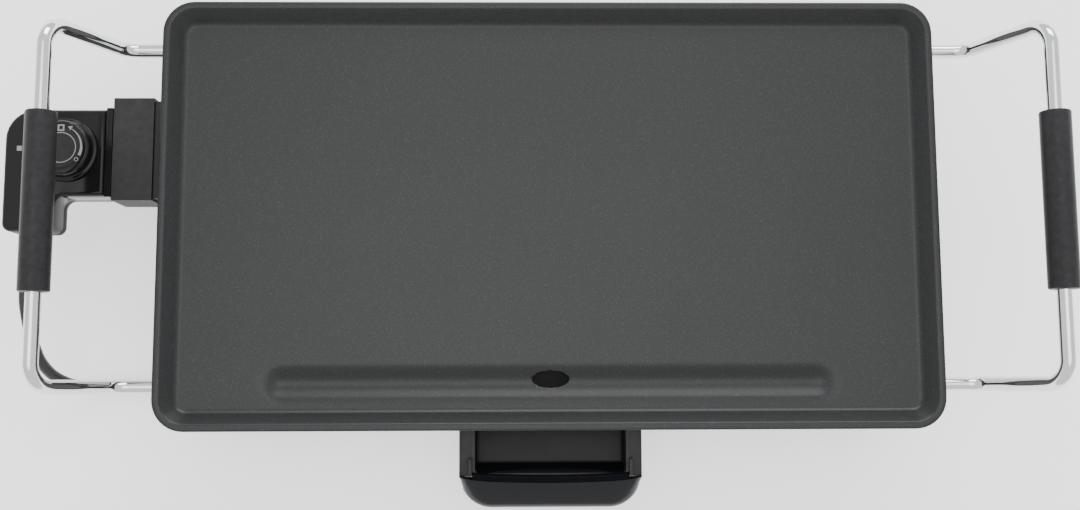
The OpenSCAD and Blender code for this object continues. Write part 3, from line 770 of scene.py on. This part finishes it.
def add_cord_guard():
    """Tapered sleeve with rings, which keeps the cord from kinking at the housing."""
    bm = bmesh.new()
    section = [(3.2, 0.2), (5.9, 0), (6.0, 1.5)]
    for ring in range(6):
        start = 2.5 + ring * 3.2
        radius = 5.9 - ring * 0.24
        section += [
            (radius - 0.9, start), (radius - 0.9, start + 0.8),
            (radius, start + 1.2), (radius - 0.05, start + 2.6)]
    section += [(4.6, 21.6), (4.2, 22), (3.3, 22)]
    lathed(bm, section, GUARD_AT, axis=(0, -1, 0), steps=40)
    return placed(
        "cord_sleeve", bm, "control", FINISHES["cord_pvc"], ("cord_guard",))


def add_plug():
    """Two-pin moulded plug with a waist and a ribbed neck."""
    bm = bmesh.new()
    section = [(0, 0), (4.6, 0), (5.6, 0.5)]
    for ring in range(4):
        start = 1.5 + ring * 3
        radius = 6.4 + ring * 1.4
        section += [
            (radius, start), (radius + 0.3, start + 1.6),
            (radius - 0.6, start + 1.9), (radius - 0.6, start + 2.6)]
    section += [
        (11.8, 14.2), (14.8, 17.6), (17.2, 21), (18.2, 23), (18.5, 25), (18.5, 37.4),
        (18.1, 39.2), (17.0, 40), (0, 40)]
    lathed(bm, section, PLUG_AT, axis=(1, 0, 0), steps=64)
    return placed("plug_moulding", bm, "control", FINISHES["cord_pvc"], ("plug_body",))


# ---- plate ----

# Section of the rim: distance inwards from the outer edge, and height
RIM_SECTION = [
    (19, 59.5), (11.8, 59.5), (11.0, 59.65), (10.4, 60.1), (4.7, 66.0), (3.9, 66.5),
    (0.6, 67.45), (0.15, 67.65), (0, 68.0), (0, 70.9), (0.08, 71.3), (0.3, 71.65),
    (0.65, 71.88), (1.1, 71.97), (2.4, 72), (3.7, 71.96), (4.3, 71.78), (4.8, 71.4),
    (10.3, 64.6), (10.8, 64.1), (11.5, 63.6), (12.4, 63.2), (13.4, 63.02), (14.2, 63),
    (19, 63),
]
GRID_STEP = 3
FINE_ROWS = 27


def plate_rows():
    """Steps from front to back: one millimetre across the gutter, then three."""
    coarse = (2 * (HALF_D - CORNER_R) - FINE_ROWS) // GRID_STEP
    return [1] * FINE_ROWS + [GRID_STEP] * coarse


def plate_columns():
    return [GRID_STEP] * (2 * (HALF_W - CORNER_R) // GRID_STEP)


def add_rim(bm):
    """The rim runs along four sides and turns four corners."""
    x, y = HALF_W - CORNER_R, HALF_D - CORNER_R
    verts = [bm.verts.new((-x, -HALF_D + d, z)) for d, z in RIM_SECTION]
    ring = [bm.edges.new(pair) for pair in zip(verts, verts[1:])]
    sides = [
        ((1, 0), plate_columns(), (x, -y)),
        ((0, 1), plate_rows(), (x, y)),
        ((-1, 0), plate_columns(), (-x, y)),
        ((0, -1), plate_rows()[::-1], (-x, -y)),
    ]
    for way, steps, corner in sides:
        for step in steps:
            ring = pushed(bm, ring, (way[0] * step, way[1] * step, 0))
        ring = turned(bm, ring, (*corner, 0), (0, 0, 1), 90, 10)


def add_sheet(bm, z):
    """One face of the floor, as a grid that meets the rim's steps."""
    vert = bm.verts.new((CORNER_R - HALF_W, CORNER_R - HALF_D, z))
    row = []
    for step in plate_columns():
        made = bmesh.ops.extrude_vert_indiv(bm, verts=[vert])
        vert = made["verts"][0]
        bmesh.ops.translate(bm, verts=[vert], vec=(step, 0, 0))
        row += made["edges"]
    for step in plate_rows():
        row = pushed(bm, row, (0, step, 0))


def sink_gutter(bm):
    """Presses the gutter into the floor, and lets it bulge out underneath."""
    for vert in bm.verts:
        over = max(abs(vert.co.x) - GUTTER_RUN, 0)
        across = math.hypot(over, vert.co.y - GUTTER_Y)
        if across < GUTTER_HALF and vert.co.z < FLOOR_Z + 0.1:
            vert.co.z -= GUTTER_DEPTH * (0.5 + 0.5 * math.cos(math.pi * across / GUTTER_HALF))


def add_plate():
    bm = bmesh.new()
    add_rim(bm)
    add_sheet(bm, FLOOR_Z)
    add_sheet(bm, UNDER_Z)
    bmesh.ops.remove_doubles(bm, verts=bm.verts, dist=0.01)
    sink_gutter(bm)
    plate = placed(
        "coated_plate", bm, "griddle", FINISHES["nonstick_coating"],
        ("griddle_plate",), 60)
    outer = oval_bar(
        DRAIN_W + 2 * SPOUT_WALL, DRAIN_D + 2 * SPOUT_WALL, (0, DRAIN_Y), SPOUT_Z, 58)
    cut(plate, outer, "UNION")
    cut(plate, oval_bar(DRAIN_W, DRAIN_D, (0, DRAIN_Y), SPOUT_Z - 2, RIM_Z))
    return plate


def add_bosses():
    """Posts cast under the plate, which take the screws, and the block that holds the probe."""
    bm = bmesh.new()
    for sx in (-1, 1):
        for sy in (-1, 1):
            lathed(
                bm, [(2.1, 8), (5.6, 8), (6, 7.6), (6, 0.6), (6.6, 0)],
                (sx * LEG_X, sy * ROD_Y, UNDER_Z), axis=(0, 0, -1), steps=32)
        for y in RAIL_YS:
            lathed(
                bm, [(2.1, 3.5), (3.7, 3.5), (4, 3.2), (4, 0.6), (4.6, 0)],
                (sx * RAIL_X, y, UNDER_Z), axis=(0, 0, -1), steps=32)
    for dy in (-BRACKET_DY, BRACKET_DY):
        lathed(
            bm, [(1.6, 3.5), (3.2, 3.5), (3.5, 3.2), (3.5, 0)],
            (BRACKET_X, SOCKET_Y + dy, UNDER_Z), axis=(0, 0, -1), steps=32)
    block(bm, (-203, SOCKET_Y - 6, SOCKET_Z - 6.2), (-188, SOCKET_Y + 6, UNDER_Z), 1, 2)
    return placed(
        "plate_bosses", bm, "griddle", FINISHES["nonstick_coating"])


# ---- handles ----

def add_handle(side, name):
    bm = bmesh.new()
    bent_bar(
        bm,
        [
            (side * ROD_END, -ROD_Y, ROD_Z), (side * KINK_X, -ROD_Y, ROD_Z),
            (side * GRIP_X, -ROD_Y, GRIP_Z), (side * GRIP_X, ROD_Y, GRIP_Z),
            (side * KINK_X, ROD_Y, ROD_Z), (side * ROD_END, ROD_Y, ROD_Z),
        ],
        ROD_R, ROD_BEND, sides=32, steps=14)
    placed(
        name + "_rod_bent", bm, "griddle", FINISHES["chrome_rod"],
        (name + "_handle_rod",))
    bm = bmesh.new()
    half = GRIP_L / 2
    section = [
        (ROD_R + 0.05, -half + 0.6), (ROD_R + 0.6, -half), (GRIP_R - 0.9, -half),
        (GRIP_R - 0.25, -half + 0.3), (GRIP_R, -half + 1), (GRIP_R, half - 1),
        (GRIP_R - 0.25, half - 0.3), (GRIP_R - 0.9, half), (ROD_R + 0.6, half),
        (ROD_R + 0.05, half - 0.6),
    ]
    lathed(bm, section + section[:1], (side * GRIP_X, 0, GRIP_Z), axis=(0, 1, 0), steps=64)
    placed(
        name + "_grip_sleeve", bm, "griddle", FINISHES["grip_plastic"],
        (name + "_grip",))


# ---- underneath ----

def add_element():
    bm = bmesh.new()
    low_x, high_x = ELEMENT_END + 10, ELEMENT_END + 28
    near, far = PIN_YS
    bent_bar(
        bm,
        [
            (ELEMENT_END, far, SOCKET_Z), (low_x, far, SOCKET_Z), (high_x, far, ELEMENT_Z),
            (-ELEMENT_X, far, ELEMENT_Z), (-ELEMENT_X, ELEMENT_BACK, ELEMENT_Z),
            (ELEMENT_X, ELEMENT_BACK, ELEMENT_Z), (ELEMENT_X, ELEMENT_FRONT, ELEMENT_Z),
            (-ELEMENT_X, ELEMENT_FRONT, ELEMENT_Z), (-ELEMENT_X, near, ELEMENT_Z),
            (high_x, near, ELEMENT_Z), (low_x, near, SOCKET_Z), (ELEMENT_END, near, SOCKET_Z),
        ],
        ELEMENT_R, ELEMENT_BEND, sides=20, steps=8)
    placed(
        "element_tube", bm, "griddle", FINISHES["element_steel"],
        ("heating_element",))


def pan_head(bm, at, radius, height, axis):
    """Low domed screw head marked with a cross; at is the middle of its seat."""
    section = [
        (radius, 0), (radius, height * 0.35), (radius * 0.93, height * 0.62),
        (radius * 0.72, height * 0.88), (radius * 0.5, height), (0, height * 0.98)]
    lathed(bm, section, at, axis, steps=24)
    turn = Vector((0, 0, 1)).rotation_difference(Vector(axis)).to_matrix().to_4x4()
    arm = radius * 0.55
    for long, wide in ((arm, radius * 0.13), (radius * 0.13, arm)):
        bmesh.ops.create_cube(
            bm, size=2,
            matrix=Matrix.Translation(at) @ turn
            @ Matrix.Translation((0, 0, height * 0.9))
            @ Matrix.Diagonal((long, wide, height * 0.14, 1)))


def add_screws(node, body, places, radius, head_r, head_h, length, axis):
    """A group of screws: each place is the seat of a head, and the shank runs against axis."""
    bm = bmesh.new()
    for place in places:
        pan_head(bm, place, head_r, head_h, axis)
        back = Vector(place) - Vector(axis) * length
        cylinder(bm, back, radius, length, axis, 16)
    placed(
        node + "_heads", bm, body, FINISHES["plated_steel"], (node,))


# ---- control ----

def housing_outline(z):
    """Outline of the control's housing from its front right corner, anticlockwise."""
    return (-269.5, 11.2, z), [
        ("line", (0, 53.6), 0),
        ("line", (-43.5, 0), 0),
        ("arc", (-313, 46.8), 90),
        ("line", (0, -51.8), 0),
        ("arc", (-326, -5), 90),
        ("line", (21, 0), 0),
        ("arc", (-305, -5), 90),
        ("line", (0, 10.2), 0),
        ("arc", (-294, 5.2), -90),
    ]


def add_shell(name, node, z0, z1, round_z, edge, steps):
    """One shell of the housing, with a soft edge at round_z and a fine one at the parting."""
    bm = bmesh.new()
    start, moves = housing_outline(z0)
    traced(bm, start, moves)
    made = bmesh.ops.extrude_face_region(bm, geom=list(bm.faces))["geom"]
    bmesh.ops.translate(bm, verts=verts_of(made), vec=(0, 0, z1 - z0))
    bmesh.ops.recalc_face_normals(bm, faces=bm.faces)
    for level, width, segments in ((round_z, edge, steps), (z0 + z1 - round_z, 0.35, 2)):
        rim = [e for e in bm.edges if all(abs(v.co.z - level) < 0.01 for v in e.verts)]
        bmesh.ops.bevel(
            bm, geom=rim, offset=width, segments=segments, profile=0.5,
            affect="EDGES", material=-1)
    placed(
        name, bm, "control", HOUSING_PLASTIC, (node,), 30)


def add_knob():
    bm = bmesh.new()
    section = [
        (0, 64.6), (18.6, 64.6), (19.1, 64.8), (19.25, 65.2), (19.25, 66.5), (19.0, 67.05),
        (18.5, 67.3), (17.7, 67.35), (17.3, 67.7), (17.2, 68.3), (17.0, 71.4), (16.85, 72.3),
        (16.4, 73.2), (15.8, 73.75), (15.0, 74), (12.3, 74), (12.05, 73.9), (12, 73.4),
    ]
    lathed(bm, section, (KNOB_X, KNOB_Y, 0), steps=96)
    placed(
        "knob_turned", bm, "knob", FINISHES["gloss_black_plastic"],
        ("knob",), 40)


def print_ring(bm, inner, outer, start, sweep, z):
    """A flat printed arc about the knob's axis, by its two radii and its angles."""
    angle = math.radians(start)
    way = Vector((math.cos(angle), math.sin(angle), 0))
    middle = Vector((KNOB_X, KNOB_Y, z))
    verts = [bm.verts.new(middle + way * r) for r in (inner, outer)]
    edge = bm.edges.new(verts)
    return bmesh.ops.spin(
        bm, geom=verts + [edge], cent=middle, axis=(0, 0, 1), angle=math.radians(sweep),
        steps=48, use_merge=abs(sweep) == 360)


def add_dial_print():
    """White marks on the knob: a ring, an off mark, a growing arc with its arrowhead."""
    bm = bmesh.new()
    middle = Vector((KNOB_X, KNOB_Y, KNOB_TOP + 0.02))
    print_ring(bm, 8.85, 9.35, 0, 360, middle.z)
    print_growing_arc(bm, middle, 60, 83)
    print_off_mark(bm, middle + Vector((0, 12.0, 0)))
    print_small_ring(bm, middle + Vector((9.7, -7.2, 0)), 1.25)
    bmesh.ops.create_circle(
        bm, cap_ends=True, segments=3, radius=1.7,
        matrix=Matrix.Translation(middle + Vector((5.6, 12.0, 0)))
        @ Matrix.Rotation(math.radians(62), 4, "Z"))
    bmesh.ops.recalc_face_normals(bm, faces=bm.faces)
    made = bmesh.ops.extrude_face_region(bm, geom=list(bm.faces))["geom"]
    bmesh.ops.translate(bm, verts=verts_of(made), vec=(0, 0, 0.06))
    placed("dial_marks", bm, "knob", FINISHES["white_print"])


def print_growing_arc(bm, middle, start, sweep):
    """An arc that is thin at its arrowhead and three times as wide at its end."""
    old = set(bm.verts)
    print_ring(bm, 12.6, 13.1, start, -sweep, middle.z)
    for vert in set(bm.verts) - old:
        away = vert.co - middle
        share = math.radians(start) - math.atan2(away.y, away.x)
        grown = share / math.radians(sweep)
        if away.length < 12.8:
            vert.co = middle + away.normalized() * (12.7 - 1.3 * grown)


def print_off_mark(bm, middle):
    """A square with a small bar left open in it."""
    made = bmesh.ops.create_grid(
        bm, x_segments=1, y_segments=1, size=2.0, matrix=Matrix.Translation(middle))
    face = made["verts"][0].link_faces[0]
    bmesh.ops.inset_individual(bm, faces=[face], thickness=1.25)
    bmesh.ops.delete(bm, geom=[face], context="FACES")


def print_small_ring(bm, middle, radius):
    made = bmesh.ops.create_circle(
        bm, cap_ends=True, segments=24, radius=radius, matrix=Matrix.Translation(middle))
    face = made["verts"][0].link_faces[0]
    bmesh.ops.inset_individual(bm, faces=[face], thickness=0.4)
    bmesh.ops.delete(bm, geom=[face], context="FACES")


# ---- drawer ----

def add_tray():
    """Open tray with a front wall that leans out, and a runner along each side."""
    bm = bmesh.new()
    inner_front = DRAWER_FRONT + TRAY_T
    low = Vector((-TRAY_HALF, inner_front, TRAY_Z0 + TRAY_T))
    high = Vector((TRAY_HALF, TRAY_BACK - TRAY_T, RUNNER_TOP))
    block(bm, low, high)
    middle = (low + high) / 2
    for vert in bm.verts:
        if vert.co.y < middle.y and vert.co.z < middle.z:
            vert.co.y += FRONT_LEAN
    lid = [face for face in bm.faces if face.calc_center_median().z > RUNNER_TOP - 0.1]
    bmesh.ops.delete(bm, geom=lid, context="FACES")
    inside = [edge for edge in bm.edges if len(edge.link_faces) == 2]
    bmesh.ops.bevel(
        bm, geom=inside, offset=2.4, segments=4, profile=0.5, affect="EDGES", material=-1)
    bmesh.ops.recalc_face_normals(bm, faces=bm.faces)
    bmesh.ops.reverse_faces(bm, faces=bm.faces)
    bmesh.ops.solidify(bm, geom=list(bm.faces), thickness=TRAY_T)
    for side in (-1, 1):
        inner, outer = sorted((side * (TRAY_HALF + TRAY_T - 0.4), side * DRAWER_HALF))
        block(
            bm, (inner, DRAWER_FRONT + 0.01, RUNNER_TOP - RUNNER_T),
            (outer, RUNNER_BACK, RUNNER_TOP), 0.4, 2)
        block(
            bm, (side * RIB_X - RIB_T / 2, DRAWER_FRONT + 0.1, RUNNER_TOP - 0.5),
            (side * RIB_X + RIB_T / 2, DRAWER_FRONT + RIB_L, RIB_TOP), 0.4, 2)
    placed(
        "tray_moulding", bm, "drawer", FINISHES["drawer_plastic"],
        ("drawer_tray",), 40)


def add_lip():
    """Handle of the drawer: a bowed front, rounded over from its upper edge."""
    bm = bmesh.new()
    half = DRAWER_HALF
    y1 = DRAWER_FRONT
    section = [
        (y1, LIP_TOP - LIP_H + 0.6), (y1, LIP_TOP - 3.4), (y1 - 1.6, LIP_TOP - 0.5),
        (y1 - 1.9, LIP_TOP - 0.05), (y1 - 2.3, LIP_TOP - 0.2), (y1 - 6, LIP_TOP - 1.9),
        (y1 - 10, LIP_TOP - 4), (y1 - 14, LIP_TOP - 6.4), (y1 - 17, LIP_TOP - 8.4),
        (y1 - 18.6, LIP_TOP - 10.2), (y1 - 19.4, LIP_TOP - 13), (y1 - LIP_D, LIP_TOP - 18),
        (y1 - 18.6, LIP_TOP - 21), (y1 - 16, LIP_TOP - 23.2), (y1 - 13, LIP_TOP - LIP_H),
        (y1 - 0.6, LIP_TOP - LIP_H),
    ]
    verts = [bm.verts.new((-half, y, z)) for y, z in section]
    ring = [bm.edges.new(pair) for pair in zip(verts, verts[1:] + verts[:1])]
    bmesh.ops.contextual_create(bm, geom=ring)
    steps = 48
    for _ in range(steps):
        ring = pushed(bm, ring, (2 * half / steps, 0, 0))
    bmesh.ops.contextual_create(bm, geom=ring)
    bow_front(bm)
    round_corners(bm)
    add_inner_panel(bm)
    placed(
        "lip_moulding", bm, "drawer", FINISHES["lip_plastic"],
        ("drawer_handle",), 50)


def bow_front(bm):
    """The upper edge of the handle bows towards the front in its middle."""
    for vert in bm.verts:
        depth = DRAWER_FRONT - vert.co.y
        if depth > -1.5 and vert.co.z > LIP_TOP - 6:
            middle = 1 - (vert.co.x / DRAWER_HALF) ** 2
            vert.co.y -= LIP_BOW * middle * max(1 - abs(depth) / 14, 0)


def round_corners(bm):
    """The handle's front turns back towards the drawer at both ends."""
    for vert in bm.verts:
        out = max(abs(vert.co.x) - (DRAWER_HALF - LIP_D), 0)
        depth = DRAWER_FRONT - vert.co.y
        if depth > 0:
            kept = math.sqrt(max(1 - (out / LIP_D) ** 2, 0))
            vert.co.y = DRAWER_FRONT - depth * max(kept, 0.02)


def add_inner_panel(bm):
    """The handle reaches over the tray's front wall and lines it on the inside."""
    half = TRAY_HALF + TRAY_T - 0.2
    foot_y = DRAWER_FRONT + TRAY_T + 4.3
    section = [
        (foot_y, TRAY_Z0 + TRAY_T + 1.2), (DRAWER_FRONT + TRAY_T + 0.6, RUNNER_TOP + 0.2),
        (DRAWER_FRONT - 1.0, LIP_TOP - 1.2), (DRAWER_FRONT - 1.4, LIP_TOP - 0.8)]
    verts = [bm.verts.new((-half, y, z)) for y, z in section]
    ring = [bm.edges.new(pair) for pair in zip(verts, verts[1:])]
    old = set(bm.faces)
    steps = 24
    for _ in range(steps):
        ring = pushed(bm, ring, (2 * half / steps, 0, 0))
    made = [face for face in bm.faces if face not in old]
    for vert in {vert for face in made for vert in face.verts}:
        if vert.co.z > RUNNER_TOP:
            vert.co.y -= LIP_BOW * (1 - (vert.co.x / DRAWER_HALF) ** 2)
    bmesh.ops.solidify(bm, geom=made, thickness=0.5)


# ---- surroundings ----

def add_floor():
    bm = bmesh.new()
    bmesh.ops.create_grid(bm, x_segments=1, y_segments=1, size=4)
    finish = Finish("floor", Roughness=0.9, Emission_Strength=0.9, Emission_Color=WHITE)
    grain = finish.effect(GRAIN, Fine_Scale=200, Broad_Scale=3)
    finish.colour(grain.outputs["Mask"], (0.90, 0.90, 0.90), (0.93, 0.93, 0.93))
    mesh = bpy.data.meshes.new("floor")
    bm.to_mesh(mesh)
    bm.free()
    mesh.materials.append(finish.material)
    floor = bpy.data.objects.new("floor", mesh)
    SCENE.collection.objects.link(floor)


def add_light(name, location, aim, size, power):
    data = bpy.data.lights.new(name, "AREA")
    data.shape = "RECTANGLE"
    data.size, data.size_y = size
    data.energy = power
    light = bpy.data.objects.new(name, data)
    light.location = location
    light.rotation_euler = (Vector(aim) - Vector(location)).to_track_quat("-Z", "Y").to_euler()
    SCENE.collection.objects.link(light)


def add_lights():
    world = bpy.data.worlds.new("studio")
    world.use_nodes = True
    make, link = world.node_tree.nodes.new, world.node_tree.links.new
    place = make("ShaderNodeTexCoord")
    split = make("ShaderNodeSeparateXYZ")
    rise = make("ShaderNodeMapRange")
    rise.interpolation_type = "SMOOTHSTEP"
    rise.inputs["From Min"].default_value = 0.88
    rise.inputs["From Max"].default_value = 0.99
    rise.inputs["To Min"].default_value = 1.15
    rise.inputs["To Max"].default_value = 3.1
    link(place.outputs["Generated"], split.inputs["Vector"])
    link(split.outputs["Z"], rise.inputs["Value"])
    sky = world.node_tree.nodes["Background"]
    sky.inputs["Color"].default_value = WHITE
    link(rise.outputs["Result"], sky.inputs["Strength"])
    SCENE.world = world
    add_light("back_light", (0.4, 2.6, 1.8), (0, 0, 0.05), (2.4, 1.2), 60)


# ---- the whole griddle ----

def add_underside():
    add_element()
    add_screws(
        "leg_screws", "griddle",
        [(sx * LEG_X, sy * ROD_Y, LEG_SEAT_Z) for sx in (-1, 1) for sy in (-1, 1)],
        2, 4, 3, 20, (0, 0, -1))
    add_screws(
        "rail_screws", "griddle",
        [(sx * RAIL_X, y, SEAT_Z - 2) for sx in (-1, 1) for y in RAIL_YS],
        2, 4, 3, 7, (0, 0, -1))
    add_screws(
        "bracket_screws", "griddle",
        [(BRACKET_X, SOCKET_Y + dy, SEAT_Z - 1.5) for dy in (-BRACKET_DY, BRACKET_DY)],
        1.5, 3, 2, 7, (0, 0, -1))
    add_screws(
        "shroud_screws", "griddle", [(-228, y, SOCKET_Z) for y in (12.1, 66.2)],
        1.5, 3, 2, 28, (1, 0, 0))
    add_screws(
        "control_screws", "control",
        [(x, y, HOUSING_Z0 + 2) for x, y in CONTROL_SCREWS],
        1.5, 3, 2, 20, (0, 0, -1))
    for corner in ("front_left", "front_right", "back_left", "back_right"):
        softened("leg_" + corner, "griddle", FINISHES["leg_plastic"], 0.8)
        softened("foot_" + corner, "griddle", FINISHES["foot_rubber"], 0.7)
    for side in ("left", "right"):
        softened(
            side + "_drawer_rail", "griddle", FINISHES["leg_plastic"], 0.3, 2)
    softened("element_clamps", "griddle", FINISHES["plated_steel"], 0.25, 2)
    softened("socket_bracket", "griddle", FINISHES["plated_steel"], 0.3, 2)


def add_control():
    add_shell("housing_base", "control_base", HOUSING_Z0, PARTING_Z, HOUSING_Z0, 7.0, 1)
    add_shell("housing_cover", "control_cover", PARTING_Z, HOUSING_TOP, HOUSING_TOP, 3.0, 5)
    softened(
        "contact_block", "control", FINISHES["gloss_black_plastic"], 0.5)
    add_knob()
    add_dial_print()


def add_griddle():
    paint_frame()
    add_cord()
    add_plate()
    add_bosses()
    add_handle(-1, "left")
    add_handle(1, "right")
    softened(
        "socket_shroud", "griddle", FINISHES["matte_black_plastic"], 1.0)
    softened(
        "shroud_collar", "griddle", FINISHES["matte_black_plastic"], 0.8)
    add_underside()
    add_control()
    add_tray()
    add_lip()


add_camera()
add_griddle()
add_floor()
add_lights()
